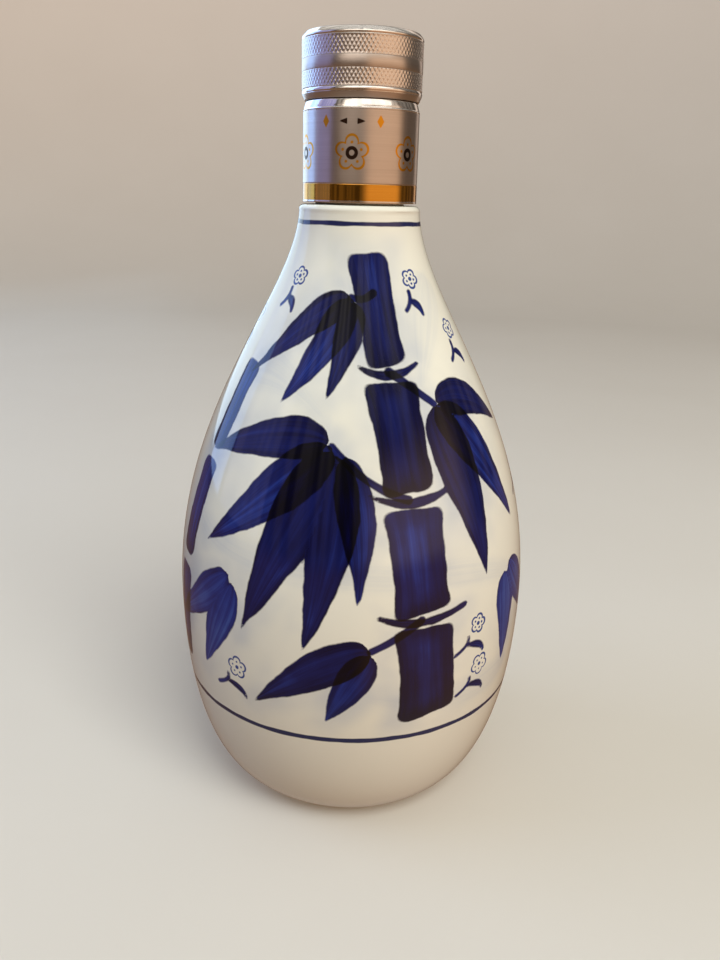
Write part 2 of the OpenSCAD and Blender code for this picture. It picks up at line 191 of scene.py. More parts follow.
def painting(strokes):
    """For each painted vertex: how far it lies inside the stroke that covers it most (mm, negative outside),
    its offset across the brush, its distance along the stroke, and the brush load there. The nearest of the
    path's points gives the offset and the distance; the brush's hairs gather where the stroke narrows."""
    layer = np.zeros(painted.shape + (4,))
    layer[..., 0] = OUTSIDE
    for number, b in enumerate(strokes):
        reach = b["w"].max() + BRUSH_MARGIN
        rows = np.flatnonzero((up_line > b["s"].min() - reach) & (up_line < b["s"].max() + reach))
        middle = (b["a"].min() + b["a"].max()) / 2
        spread = (b["a"].max() - b["a"].min()) / 2 + reach / line[rows, 0].min()
        columns = np.flatnonzero(np.abs(wrapped(angle - middle)) < spread)
        r = line[rows, 0][:, None, None]
        dx = r * wrapped(angle[columns][None, :, None] - b["a"])
        dy = up_line[rows][:, None, None] - b["s"]
        near = np.argmin(dx ** 2 + dy ** 2, 2)[..., None]
        dx, dy = np.take_along_axis(dx, near, 2)[..., 0], np.take_along_axis(dy, near, 2)[..., 0]
        near = near[..., 0]
        path_r = np.interp(b["s"], up_line, line[:, 0])
        step = np.stack([np.gradient(b["a"]) * path_r, np.gradient(b["s"])], 1)
        length = np.concatenate([[0], np.cumsum(np.hypot(*step[1:].T))])
        step /= np.hypot(step[:, 0], step[:, 1])[:, None]
        ahead = dx * step[near, 0] + dy * step[near, 1]
        across = dy * step[near, 0] - dx * step[near, 1]
        along = length[near] + ahead
        width = np.interp(along, length, b["w"])
        load = np.interp(along, length, b["load"])
        if b["blunt"]:
            ends = np.minimum(along + b["slant"] * across, length[-1] - along + b["slant"] * across)
            side = width - np.abs(across)
            mix = np.clip(0.5 + 0.5 * (side - ends) / b["blunt"], 0, 1)
            inside = side * (1 - mix) + ends * mix - b["blunt"] * mix * (1 - mix)
        else:
            beyond = np.maximum(np.maximum(-along, along - length[-1]), 0)
            inside = width - np.hypot(across, beyond)
        gathered = across * BRUSH / np.maximum(width, 1.5)
        new = np.stack([inside, gathered, along + STROKE_APART * number, load], 2)
        old = layer[np.ix_(rows, columns)]
        layer[np.ix_(rows, columns)] = np.where((inside > old[..., 0])[..., None], new, old)
    return layer


def leaf(base, belly, tip, width, load):
    """A leaf stroke: pressed down a third of the way along, then lifted to a point."""
    t = np.linspace(0, 1, 30)
    return laid_brush([base, belly, tip], width * np.sin(math.pi * t ** 0.62) ** 0.85, load)


def cane(foot, bend, head, width, load):
    """One length of cane: a wide stroke with square ends, where the brush is pressed and the stroke
    broadens."""
    t = np.linspace(-1, 1, 21)
    return laid_brush([foot, bend, head], width * (0.88 + 0.16 * t ** 4), load, blunt=3.4, slant=0.08)


def grove(middle, side):
    """Strokes of one painted bamboo: a thin wash, canes, then the leaves behind and the leaves and twigs in
    front. middle turns the whole round the bottle, and side -1 makes it face the other way."""
    def at(*places):
        return [(middle + side * a, z) for a, z in places]

    dark, full, thin = [0.98, 0.84, 0.74], [0.82, 0.66, 0.56], [0.52, 0.42, 0.32]
    wash = [
        laid_brush(
            at((-62, 86), (-40, 70), (-10, 84), (16, 70), (44, 80), (66, 66)), [2, 3.4, 3, 3.4, 2], thin),
        leaf(*at((58, 142), (36, 132), (30, 118)), 5.5, thin),
        leaf(*at((-58, 118), (-40, 124), (-14, 112)), 5.5, thin),
        leaf(*at((62, 44), (40, 38), (4, 46)), 4.5, thin)]
    canes = [
        cane(*at((25, 38), (24, 50), (22.5, 63)), 8.4, dark),
        cane(*at((22, 66.4), (20.5, 79), (19.5, 91.3)), 7.9, full),
        cane(*at((19, 94.8), (17.5, 107), (15.5, 118.8)), 7.1, dark),
        cane(*at((15, 122.2), (12, 134), (7, 147)), 5.3, full),
        cane(*at((-70, 40), (-68, 54), (-66, 67.5)), 4.8, thin),
        cane(*at((-65.5, 70.6), (-63, 84), (-61, 96.5)), 4.4, thin),
        cane(*at((-60.5, 99.4), (-58, 110), (-56, 121)), 3.7, thin)]
    behind = [
        leaf(*at((-40, 72), (-52, 62), (-72, 52)), 4.8, thin),
        leaf(*at((-38, 70), (-44, 58), (-52, 44)), 5.0, thin),
        leaf(*at((60, 72), (70, 62), (82, 50)), 4.8, thin),
        leaf(*at((56, 70), (58, 58), (58, 44)), 4.8, thin),
        leaf(*at((-3, 103), (4, 88), (2, 70)), 4.6, full),
        leaf(*at((-4, 137), (-16, 126), (-32, 113)), 4.2, full),
        leaf(*at((34, 113), (52, 104), (66, 82)), 5.6, full),
        leaf(*at((6, 57), (0, 48), (-7, 38)), 4.6, full),
        leaf(*at((-8, 105), (-26, 94), (-52, 78)), 6.2, full)]
    front = [
        leaf(*at((-8, 104), (-20, 86), (-34, 59)), 7.0, dark),
        leaf(*at((-6, 103), (-4, 84), (-14, 57)), 6.2, dark),
        leaf(*at((-9, 106), (-30, 108), (-62, 99)), 5.2, dark),
        leaf(*at((33, 113), (42, 96), (46, 72)), 6.3, dark),
        leaf(*at((35, 114), (54, 117), (78, 105)), 4.8, dark),
        leaf(*at((-4, 137), (-26, 134), (-56, 118)), 4.2, dark),
        leaf(*at((-2, 136), (-4, 127), (-12, 115)), 3.6, dark),
        leaf(*at((6, 58), (-10, 54), (-30, 40)), 5.4, dark)]
    nodes = [
        laid_brush(
            at((a - 14, z + 1.7), (a - 4, z - 1.3), (a + 4, z - 0.7), (a + 14, z + 2.0)),
            [0.5, 1.2, 1.1, 0.5], dark)
        for a, z in ((22.3, 64.7), (19.2, 93.0), (15.3, 120.5))]
    twigs = [
        laid_brush(at((18, 93.5), (6, 96), (-8, 105)), [1.2, 1.0, 1.0], full),
        laid_brush(at((15, 121), (24, 118), (34, 113.5)), [1.2, 1.0, 1.0], full),
        laid_brush(at((10, 138), (4, 136), (-4, 137)), [1.1, 1.0, 1.0], full),
        laid_brush(at((21, 65), (14, 61), (6, 58)), [1.2, 1.0, 1.0], full)]
    return {"wash": wash, "cane": canes, "leaf_behind": behind, "leaf_front": front + nodes, "twig": twigs}


facing, away = grove(0, 1), grove(176, -1)
layers = {name: painting(facing[name] + away[name]) for name in facing}


def blossoms(places):
    """For each painted vertex near a blossom: how far it lies across and up from the blossom's heart, in mm
    and turned by the blossom's tilt, the blossom's size, and 1. Far from all blossoms the last is 0."""
    spots = np.zeros(painted.shape + (4,))
    for a, z, size, tilt in places:
        dx = line[:, 0][:, None] * wrapped(angle[None, :] - math.radians(a))
        dy = (up_line - np.interp(z, line[:, 1], up_line))[:, None] + np.zeros_like(dx)
        near = np.hypot(dx, dy) < size + 3
        across, up = dx * math.cos(tilt) - dy * math.sin(tilt), dx * math.sin(tilt) + dy * math.cos(tilt)
        spots[near] = np.stack([across, up, np.full_like(dx, size), np.ones_like(dx)], 2)[near]
    return spots


sprigs = np.array([
    [-46, 141, 2.3, 0.2], [40, 141, 2.3, 0.8], [-80, 131, 2.5, 0.5], [63, 129, 2.5, 0.1], [-84, 92, 2.8, 0.7],
    [-36, 48, 2.9, 0.3], [44, 48, 2.9, 0.9], [84, 93, 2.8, 0.4], [-86, 48, 2.9, 0.0], [42, 60, 2.5, 0.6],
    [88, 70, 2.9, 0.2], [96, 116, 2.6, 0.5], [-100, 70, 2.8, 0.9], [-98, 112, 2.6, 0.1], [132, 143, 2.3, 0.2],
    [-134, 143, 2.3, 0.8], [106, 45, 2.9, 0.3], [-103, 90, 2.8, 0.7], [132, 48, 2.9, 0.3]])
layers["blossom"] = blossoms(sprigs)
stems = [
    laid_brush([(a - 4, z - 2.8), (a - 3, z - 5), (a - 9, z - 7)], [0.6, 0.62, 0.55], [0.6, 0.5])
    for a, z, _, _ in sprigs]
buds = [
    laid_brush([(a - 4, z - 5.0), (a + 2, z - 5.4), (a + 3, z - 8.0)], [0.6, 1.05, 1.1, 0.8, 0.5], [0.7, 0.5])
    for a, z, _, _ in sprigs]
layers["sprig"] = painting(stems + buds)
for name, values in layers.items():
    whole = np.full((len(body.data.vertices), 4), 0.0 if name == "blossom" else OUTSIDE, np.float32)
    whole[painted.reshape(-1)] = values.reshape(-1, 4)
    body.data.attributes.new(name, "FLOAT_COLOR", "POINT").data.foreach_set("color", whole.reshape(-1))


def linear(code):
    """An sRGB hex colour as linear red, green, blue and 1."""
    c = np.array([int(code[k:k + 2], 16) for k in (1, 3, 5)]) / 255
    return (*np.where(c <= 0.04045, c / 12.92, ((c + 0.055) / 1.055) ** 2.4), 1.0)


def add(tree, kind, inputs=None, **settings):
    """A new node with its settings, and with each input set to a value or linked to an output."""
    node = tree.nodes.new(kind)
    for name, value in settings.items():
        setattr(node, name, value)
    for name, value in (inputs or {}).items():
        if isinstance(value, bpy.types.NodeSocket):
            tree.links.new(value, node.inputs[name])
        else:
            node.inputs[name].default_value = value
    return node


def surface(name):
    """A new material with an empty node tree, and that tree."""
    material = bpy.data.materials.new(name)
    material.use_nodes = True
    material.node_tree.nodes.clear()
    return material, material.node_tree


# Glazed porcelain: clear, even gloss over warm white, with a slow ripple that bends reflections. The cobalt
# is streaked along each stroke by the brush's hairs, pools darker at its edges, darkens where strokes cross,
# and bleeds a faint blue into the glaze beside them.
glaze, tree = surface("cobalt_painted_glazed_porcelain")
here = add(tree, "ShaderNodeTexCoord").outputs["Object"]
xyz = add(tree, "ShaderNodeSeparateXYZ", {0: here})
slow = add(tree, "ShaderNodeTexNoise", {"Vector": here, "Scale": 1 / (9 * MM), "Detail": 2.0}).outputs[0]
swell = add(tree, "ShaderNodeTexNoise", {"Vector": here, "Scale": 1 / (6 * MM), "Detail": 1.0}).outputs[0]
fine = add(tree, "ShaderNodeTexNoise", {"Vector": here, "Scale": 1 / (1.2 * MM), "Detail": 2.0}).outputs[0]
cloud = add(tree, "ShaderNodeTexNoise", {"Vector": here, "Scale": 1 / (26 * MM), "Detail": 3.0}).outputs[0]
wobble = add(tree, "ShaderNodeMath", {0: swell, 1: 1.2, 2: -0.7}, operation="MULTIPLY_ADD").outputs[0]
wobble = add(tree, "ShaderNodeMath", {0: fine, 1: 0.24, 2: wobble}, operation="MULTIPLY_ADD").outputs[0]
colour = add(tree, "ShaderNodeMix", {
    0: cloud, 6: linear("#F1F2E7"), 7: linear("#E9E9DC")}, data_type="RGBA").outputs[2]
speck = add(tree, "ShaderNodeTexVoronoi", {"Vector": here, "Scale": 1 / (15 * MM)})
speck_is = add(tree, "ShaderNodeMapRange", {
    0: speck.outputs["Distance"], 1: 0.008, 2: 0.014, 3: 0.55, 4: 0.0}).outputs[0]
colour = add(tree, "ShaderNodeMix", {
    0: speck_is, 6: colour, 7: linear("#8A7A63")}, data_type="RGBA").outputs[2]

for name in ("wash", "cane", "leaf_behind", "leaf_front", "twig", "sprig"):
    stroke = add(tree, "ShaderNodeAttribute", attribute_name=name)
    part = add(tree, "ShaderNodeSeparateColor", {0: stroke.outputs["Color"]})
    steady = 0.35 if name in ("twig", "sprig") else 1.0
    inside = add(tree, "ShaderNodeMath", {
        0: wobble, 1: steady, 2: part.outputs[0]}, operation="MULTIPLY_ADD").outputs[0]
    hairs = add(tree, "ShaderNodeCombineXYZ", {0: part.outputs[1], 1: add(tree, "ShaderNodeMath", {
        0: part.outputs[2], 1: 0.035}, operation="MULTIPLY").outputs[0]}).outputs[0]
    streak = add(tree, "ShaderNodeTexNoise", {
        "Vector": hairs, "Scale": 0.6, "Detail": 4.0, "Roughness": 0.6}).outputs[0]
    if name == "wash":
        thinned = add(tree, "ShaderNodeMapRange", {
            0: inside, 1: -2.0, 2: 2.2, 3: 0.0, 4: 0.42}, interpolation_type="SMOOTHSTEP").outputs[0]
        thinned = add(tree, "ShaderNodeMath", {0: thinned, 1: streak}, operation="MULTIPLY").outputs[0]
        colour = add(tree, "ShaderNodeMix", {
            0: thinned, 6: colour, 7: linear("#B9C8EA")}, data_type="RGBA", blend_type="MULTIPLY").outputs[2]
        continue
    covers = add(tree, "ShaderNodeMapRange", {
        0: inside, 1: -0.2, 2: 0.3}, interpolation_type="SMOOTHSTEP").outputs[0]
    reach, amount = (6.0, 0.34) if name == "cane" else (2.4, 0.2)
    pooled = add(tree, "ShaderNodeMapRange", {
        0: inside, 1: reach, 2: 0.2, 3: 0.0, 4: amount}, interpolation_type="SMOOTHSTEP").outputs[0]
    depth = add(tree, "ShaderNodeMath", {
        0: streak, 1: 0.95, 2: stroke.outputs["Alpha"]}, operation="MULTIPLY_ADD").outputs[0]
    depth = add(tree, "ShaderNodeMath", {0: slow, 1: 0.4, 2: depth}, operation="MULTIPLY_ADD").outputs[0]
    depth = add(tree, "ShaderNodeMath", {0: depth, 1: pooled}).outputs[0]
    depth = add(tree, "ShaderNodeMapRange", {0: depth, 1: 0.65, 2: 1.95}).outputs[0]
    ink = add(tree, "ShaderNodeValToRGB", {0: depth})
    ramp = ink.color_ramp.elements
    ramp[0].position, ramp[0].color = 0.0, linear("#8BA0D6")
    ramp[1].position, ramp[1].color = 1.0, linear("#0C0B2E")
    for stop, code in ((0.2, "#4463BE"), (0.4, "#253A98"), (0.6, "#171F66"), (0.8, "#101248")):
        ramp.new(stop).color = linear(code)
    if name not in ("twig", "sprig"):
        bleed = add(tree, "ShaderNodeMapRange", {
            0: part.outputs[0], 1: -7.0, 2: 0.0, 3: 0.0, 4: 0.5}, interpolation_type="SMOOTHSTEP").outputs[0]
        bleed = add(tree, "ShaderNodeMath", {0: bleed, 1: add(tree, "ShaderNodeMapRange", {
            0: cloud, 1: 0.4, 2: 0.66}).outputs[0]}, operation="MULTIPLY").outputs[0]
        colour = add(tree, "ShaderNodeMix", {
            0: bleed, 6: colour, 7: linear("#C3CFEC")}, data_type="RGBA", blend_type="MULTIPLY").outputs[2]
    colour = add(tree, "ShaderNodeMix", {
        0: covers, 6: colour, 7: ink.outputs[0]}, data_type="RGBA", blend_type="MULTIPLY").outputs[2]

# Thin-line blossoms: an outline that swings five times round between its notches and its petals' tips, a dot
# for the heart and one on each petal
spot = add(tree, "ShaderNodeAttribute", attribute_name="blossom")
part = add(tree, "ShaderNodeSeparateColor", {0: spot.outputs["Color"]})
blossom_size = part.outputs[2]
from_heart = add(tree, "ShaderNodeVectorMath", {0: add(tree, "ShaderNodeCombineXYZ", {
    0: part.outputs[0], 1: part.outputs[1]}).outputs[0]}, operation="LENGTH").outputs["Value"]
swing = add(tree, "ShaderNodeMath", {0: part.outputs[1], 1: part.outputs[0]}, operation="ARCTAN2").outputs[0]
swing = add(tree, "ShaderNodeMath", {0: swing, 1: 2.5}, operation="MULTIPLY").outputs[0]
lobe = add(tree, "ShaderNodeMath", {0: swing}, operation="SINE").outputs[0]
lobe = add(tree, "ShaderNodeMath", {0: lobe}, operation="ABSOLUTE").outputs[0]
lobe = add(tree, "ShaderNodeMath", {0: lobe, 1: 0.6}, operation="POWER").outputs[0]
lobe = add(tree, "ShaderNodeMath", {0: lobe, 1: 0.34, 2: 0.66}, operation="MULTIPLY_ADD").outputs[0]
lobe = add(tree, "ShaderNodeMath", {0: lobe, 1: blossom_size}, operation="MULTIPLY").outputs[0]
off_edge = add(tree, "ShaderNodeMath", {0: from_heart, 1: lobe}, operation="SUBTRACT").outputs[0]
off_edge = add(tree, "ShaderNodeMath", {0: off_edge}, operation="ABSOLUTE").outputs[0]
off_heart = add(tree, "ShaderNodeMath", {
    0: blossom_size, 1: -0.1, 2: from_heart}, operation="MULTIPLY_ADD").outputs[0]
beside_dot = add(tree, "ShaderNodeMath", {0: swing}, operation="COSINE").outputs[0]
beside_dot = add(tree, "ShaderNodeMath", {0: beside_dot, 1: from_heart}, operation="MULTIPLY").outputs[0]
beside_dot = add(tree, "ShaderNodeMath", {0: beside_dot, 1: 0.4}, operation="MULTIPLY").outputs[0]
beyond_dot = add(tree, "ShaderNodeMath", {
    0: blossom_size, 1: -0.52, 2: from_heart}, operation="MULTIPLY_ADD").outputs[0]
off_dot = add(tree, "ShaderNodeVectorMath", {0: add(tree, "ShaderNodeCombineXYZ", {
    0: beside_dot, 1: beyond_dot}).outputs[0]}, operation="LENGTH").outputs["Value"]
off = add(tree, "ShaderNodeMath", {0: off_edge, 1: off_heart}, operation="MINIMUM").outputs[0]
off = add(tree, "ShaderNodeMath", {0: off, 1: off_dot}, operation="MINIMUM").outputs[0]
on_line = add(tree, "ShaderNodeMath", {0: 0.27, 1: off}, operation="SUBTRACT").outputs[0]
on_line = add(tree, "ShaderNodeMath", {0: wobble, 1: 0.2, 2: on_line}, operation="MULTIPLY_ADD").outputs[0]
on_line = add(tree, "ShaderNodeMapRange", {
    0: on_line, 1: -0.1, 2: 0.12}, interpolation_type="SMOOTHSTEP").outputs[0]
is_near = add(tree, "ShaderNodeMath", {
    0: spot.outputs["Alpha"], 1: 0.999}, operation="GREATER_THAN").outputs[0]
on_line = add(tree, "ShaderNodeMath", {0: on_line, 1: is_near}, operation="MULTIPLY").outputs[0]
colour = add(tree, "ShaderNodeMix", {
    0: on_line, 6: colour, 7: linear("#3D55A2")}, data_type="RGBA", blend_type="MULTIPLY").outputs[2]

# Two ring lines, drawn outside while the body turned under a held brush: middle height, half width, colour,
# and a radius inside the wall
from_axis = add(tree, "ShaderNodeVectorMath", {0: here, 1: (1, 1, 0)}, operation="MULTIPLY").outputs[0]
from_axis = add(tree, "ShaderNodeVectorMath", {0: from_axis}, operation="LENGTH").outputs["Value"]
for middle, half, code, in_wall in ((153.3, 0.52, "#252A5E", 12.5), (32.64, 0.64, "#22285F", 43.5)):
    lift = add(tree, "ShaderNodeMath", {
        0: slow, 1: 0.5 * MM, 2: -(middle + 0.25) * MM}, operation="MULTIPLY_ADD").outputs[0]
    lift = add(tree, "ShaderNodeMath", {0: xyz.outputs[2], 1: lift}).outputs[0]
    lift = add(tree, "ShaderNodeMath", {0: lift}, operation="ABSOLUTE").outputs[0]
    edge = add(tree, "ShaderNodeMath", {0: swell, 1: 0.4 * MM, 2: lift}, operation="MULTIPLY_ADD").outputs[0]
    is_ring = add(tree, "ShaderNodeMapRange", {
        0: edge, 1: (half + 0.36) * MM, 2: (half + 0.06) * MM}, interpolation_type="SMOOTHSTEP").outputs[0]
    is_out = add(tree, "ShaderNodeMath", {0: from_axis, 1: in_wall * MM}, operation="GREATER_THAN").outputs[0]
    is_ring = add(tree, "ShaderNodeMath", {0: is_ring, 1: is_out}, operation="MULTIPLY").outputs[0]
    colour = add(tree, "ShaderNodeMix", {
        0: is_ring, 6: colour, 7: linear(code)}, data_type="RGBA", blend_type="MULTIPLY").outputs[2]

# Bare foot ring: the glaze is wiped off, so it is rough and a little darker than the body
bare = add(tree, "ShaderNodeMapRange", {0: xyz.outputs[2], 1: 0.5 * MM, 2: 0.15 * MM}).outputs[0]
is_foot = add(tree, "ShaderNodeMath", {0: from_axis, 1: 29.5 * MM}, operation="LESS_THAN").outputs[0]
bare = add(tree, "ShaderNodeMath", {0: bare, 1: is_foot}, operation="MULTIPLY").outputs[0]
colour = add(tree, "ShaderNodeMix", {0: bare, 6: colour, 7: linear("#CFC3AE")}, data_type="RGBA").outputs[2]
gloss = add(tree, "ShaderNodeMapRange", {0: bare, 3: 0.07, 4: 0.75}).outputs[0]
ripple = add(tree, "ShaderNodeBump", {"Height": slow, "Strength": 0.1, "Distance": 0.12 * MM}).outputs[0]
shade = add(tree, "ShaderNodeBsdfPrincipled", {
    "Base Color": colour, "Roughness": gloss, "IOR": 1.52, "Normal": ripple})
add(tree, "ShaderNodeOutputMaterial", {0: shade.outputs[0]})
body.data.materials.append(glaze)
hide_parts("porcelain_body")
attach(body, "bottle")

# Pourer, guard, collar and rings: pieces moulded in polyethylene, pushed together on the mouth and hidden by
# the closure. The pourer's flange sits on a soft gasket, and a split ring under the bead holds the collar.


def moulded(name, light, shadow, rough, grain):
    """Moulded plastic: soft satin gloss, faintly clouded colour, and a fine grain left by the tool, whose
    spacing is given in mm."""
    material, tree = surface(name)
    here = add(tree, "ShaderNodeTexCoord").outputs["Object"]
    cloud = add(tree, "ShaderNodeTexNoise", {"Vector": here, "Scale": 1 / (4 * MM), "Detail": 3.0}).outputs[0]
    grit = add(tree, "ShaderNodeTexNoise", {
        "Vector": here, "Scale": 1 / (grain * MM), "Detail": 2.0}).outputs[0]
    colour = add(tree, "ShaderNodeMix", {
        0: cloud, 6: linear(light), 7: linear(shadow)}, data_type="RGBA").outputs[2]
    uneven = add(tree, "ShaderNodeMapRange", {0: cloud, 3: rough - 0.06, 4: rough + 0.08}).outputs[0]
    bump = add(tree, "ShaderNodeBump", {"Height": grit, "Strength": 0.25, "Distance": 0.02 * MM}).outputs[0]
    shade = add(tree, "ShaderNodeBsdfPrincipled", {
        "Base Color": colour, "Roughness": uneven, "IOR": 1.5, "Normal": bump})
    add(tree, "ShaderNodeOutputMaterial", {0: shade.outputs[0]})
    return material


natural_pe = moulded("natural_polyethylene", "#F1EFE8", "#E6E2D6", 0.34, 0.35)
for node, material in {
    "pourer_body": natural_pe, "ball_guard": natural_pe,
    "lock_collar": moulded("white_polypropylene", "#EAE7DE", "#DDD9CE", 0.42, 0.5),
    "mouth_gasket": moulded("foamed_gasket_rubber", "#E3DFD2", "#CFC9B8", 0.7, 0.6),
    "snap_ring": moulded("grey_acetal", "#C2C6C9", "#B0B5B9", 0.38, 0.4),
    "valve_disc": moulded("frosted_polypropylene", "#DCE1E4", "#CBD2D6", 0.3, 0.3),
}.items():
    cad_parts[node].material_slots[0].material = material

# Glass ball: a ground and polished soda-lime marble that rests loose on the valve and holds it down, kept in
# by the guard. The glass is clear and faintly green, with cords where the melt wasn't quite even.
glass, tree = surface("soda_lime_glass")
here = add(tree, "ShaderNodeTexCoord").outputs["Object"]
cords = add(tree, "ShaderNodeTexNoise", {"Vector": here, "Scale": 1 / (2.5 * MM), "Detail": 2.0}).outputs[0]
tint = add(tree, "ShaderNodeMix", {
    0: cords, 6: linear("#DDF0EA"), 7: linear("#CBE4DD")}, data_type="RGBA").outputs[2]
shade = add(tree, "ShaderNodeBsdfPrincipled", {
    "Base Color": tint, "Roughness": 0.03, "IOR": 1.52, "Transmission Weight": 1.0})
add(tree, "ShaderNodeOutputMaterial", {0: shade.outputs[0]})
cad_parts["glass_ball"].material_slots[0].material = glass

# Sleeve: drawn from thin aluminium sheet, satin lacquered, with a bright-cut bead and chamfer at the top and
# a mirror-gold band at the foot. It is pushed over the collar and stays on the bottle. Two turning arrows
# between gold lozenges and a row of blossoms are printed on it.
SLEEVE_COLUMNS, SLEEVE_R, BEAD_PROUD = 400, 14.1, 0.12
BAND_LOW, BAND_HIGH, CHAMFER_LOW = 158.4, 162.15, 178.36
PRINT_TURN, PRINT_LOW, PRINT_HIGH, NO_PRINT = math.radians(-8.4), 162.3, 178.3, -5
ARROWS_Z, ARROW_OUT, ARROW_TAIL, ARROW_TIP, ARROW_TAPER = 175.8, 2.07, 0.9, 1.15, 0.34
LOZENGE_OUT, LOZENGE = 6.6, 0.75
BLOSSOMS_Z, PETAL_OUT, HEART_OUT, HEART_LINE, DOT_OUT, DOT = 169.0, 3.9, 1.05, 0.42, 2.3, 0.36
sleeve_line = np.concatenate([
    [[13.7, 158.05], [13.75, 157.92], [13.85, 157.9], [14.0, 157.9], [14.08, 157.94], [14.1, 158.05],
     [14.1, 158.3], [14.06, 158.34], [14.06, 158.4], [14.1, 158.44]],
    np.stack([np.full(6, SLEEVE_R), np.linspace(158.6, 162.0, 6)], 1),
    [[14.1, 162.14], [14.07, 162.18], [14.07, 162.22], [14.1, 162.26]],
    np.stack([np.full(64, SLEEVE_R), np.linspace(162.5, 178.2, 64)], 1),
    [[14.1, 178.34], [14.04, 178.39]],
    np.stack([13.98 + BEAD_PROUD * np.sin(np.linspace(0, math.pi, 9)), np.linspace(178.42, 178.9, 9)], 1),
    [[13.96, 178.94], [13.94, 179.1], [13.8, 179.65], [13.62, 180.25], [13.54, 180.52], [13.48, 180.64],
     [13.38, 180.7], [12.3, 180.7], [12.08, 180.66], [12.0, 180.5], [12.08, 180.34], [12.3, 180.3],
     [13.1, 180.3], [13.7, 178.9], [13.7, 168.0]]])
sleeve, sleeve_grid, sleeve_row = turned("printed_aluminium_sleeve", sleeve_line, SLEEVE_COLUMNS, loop=True)
bearing = wrapped(np.arange(SLEEVE_COLUMNS) / SLEEVE_COLUMNS * 2 * math.pi)[None, :] - PRINT_TURN
tall = sleeve_line[:, 1:]
round_way = SLEEVE_R * wrapped(bearing)


def arrow(x, point):
    """Distance inside a triangle 2 mm long and 1.4 mm high whose tip is on the side that point gives."""
    dx = (round_way - x) * point
    return np.minimum(dx + ARROW_TAIL, (ARROW_TIP - dx) * ARROW_TAPER - np.abs(tall - ARROWS_Z))


# Printed marks, as distances in mm: dark shapes, gold shapes, and the line round the gold blossoms
dark_print = np.maximum(arrow(-ARROW_OUT, -1), arrow(ARROW_OUT, 1))
gold_print = np.maximum.reduce([
    LOZENGE - np.abs(round_way - x) * 0.85 - np.abs(tall - ARROWS_Z) * 0.5
    for x in (-LOZENGE_OUT, LOZENGE_OUT)])
sixth = SLEEVE_R * ((bearing + math.pi / 6) % (math.pi / 3) - math.pi / 6)
out, spin = np.hypot(sixth, tall - BLOSSOMS_Z), np.arctan2(tall - BLOSSOMS_Z, sixth) - math.pi / 2
petal = PETAL_OUT * (0.6 + 0.4 * np.abs(np.sin(2.5 * (spin + math.pi / 5))) ** 0.7)
dark_print = np.maximum(dark_print, HEART_LINE - np.abs(out - HEART_OUT))
for turned_by in np.arange(5) * 2 * math.pi / 5:
    gold_print = np.maximum(
        gold_print, DOT - np.hypot(out * np.cos(spin - turned_by) - DOT_OUT, out * np.sin(spin - turned_by)))
is_outer = (sleeve_line[:, :1] > SLEEVE_R - 0.01) & (tall > PRINT_LOW) & (tall < PRINT_HIGH)
prints = np.zeros((len(sleeve.data.vertices), 3), np.float32)
for channel, mark in enumerate((dark_print, gold_print, out - petal)):
    prints[sleeve_grid, channel] = np.where(is_outer, mark, NO_PRINT)
sleeve.data.attributes.new("print", "FLOAT_VECTOR", "POINT").data.foreach_set("vector", prints.reshape(-1))


def metal(name, light, shadow, rough, spread, line_mm):
    """Rolled and turned metal: rings round the axis, line_mm apart, vary the gloss and stretch its
    reflections along the axis; spread is the anisotropy. The rings are drawn coarser than real ones, so that
    they show. Gives the tree, the shader and the colour too, for printing."""
    material, tree = surface(name)
    here = add(tree, "ShaderNodeTexCoord").outputs["Object"]
    up = add(tree, "ShaderNodeVectorMath", {
        0: here, 1: (30.0, 30.0, 1 / (line_mm * MM))}, operation="MULTIPLY").outputs[0]
    rings = add(tree, "ShaderNodeTexNoise", {
        "Vector": up, "Scale": 1.0, "Detail": 3.0, "Roughness": 0.6}).outputs[0]
    smear = add(tree, "ShaderNodeTexNoise", {"Vector": here, "Scale": 1 / (5 * MM), "Detail": 3.0}).outputs[0]
    colour = add(tree, "ShaderNodeMix", {
        0: rings, 6: linear(light), 7: linear(shadow)}, data_type="RGBA").outputs[2]
    gloss = add(tree, "ShaderNodeMath", {
        0: rings, 1: 0.1, 2: rough - 0.08}, operation="MULTIPLY_ADD").outputs[0]
    gloss = add(tree, "ShaderNodeMath", {0: smear, 1: 0.06, 2: gloss}, operation="MULTIPLY_ADD").outputs[0]
    bump = add(tree, "ShaderNodeBump", {"Height": rings, "Strength": 0.12, "Distance": 0.01 * MM}).outputs[0]
    along = add(tree, "ShaderNodeTangent", direction_type="UV_MAP", uv_map="around").outputs[0]
    shade = add(tree, "ShaderNodeBsdfPrincipled", {
        "Base Color": colour, "Metallic": 1.0, "Roughness": gloss, "Anisotropic": spread,
        "Anisotropic Rotation": 0.25, "Normal": bump, "Tangent": along})
    add(tree, "ShaderNodeOutputMaterial", {0: shade.outputs[0]})
    return material, tree, shade, colour


